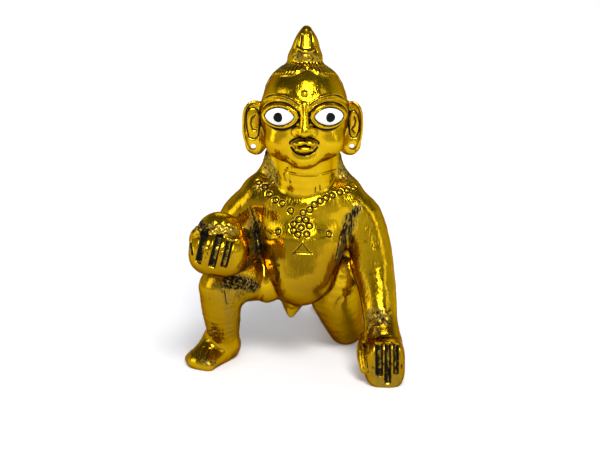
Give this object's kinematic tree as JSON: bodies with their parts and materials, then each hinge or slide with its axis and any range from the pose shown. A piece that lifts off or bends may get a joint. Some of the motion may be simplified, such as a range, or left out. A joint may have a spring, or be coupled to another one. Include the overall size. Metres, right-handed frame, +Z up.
{
  "type": "figurine",
  "caption": "Solid brass devotional figurine of a crawling child with a topknot, holding a butter ball, with inlaid white enamel eyes.",
  "frame": {"origin": "middle of the bounding box at its bottom, on the ground that the figure crawls on", "axes": "+Z up, the figure faces -Y, +X towards its own left side"},
  "size_m": [0.0584, 0.0748, 0.09],
  "materials": {
    "brass": "polished, with dark patina in the recesses",
    "enamel": null
  },
  "bodies": {
    "root": {"idol": "brass", "right_eye": "enamel", "left_eye": "enamel"}
  },
  "joints": []
}
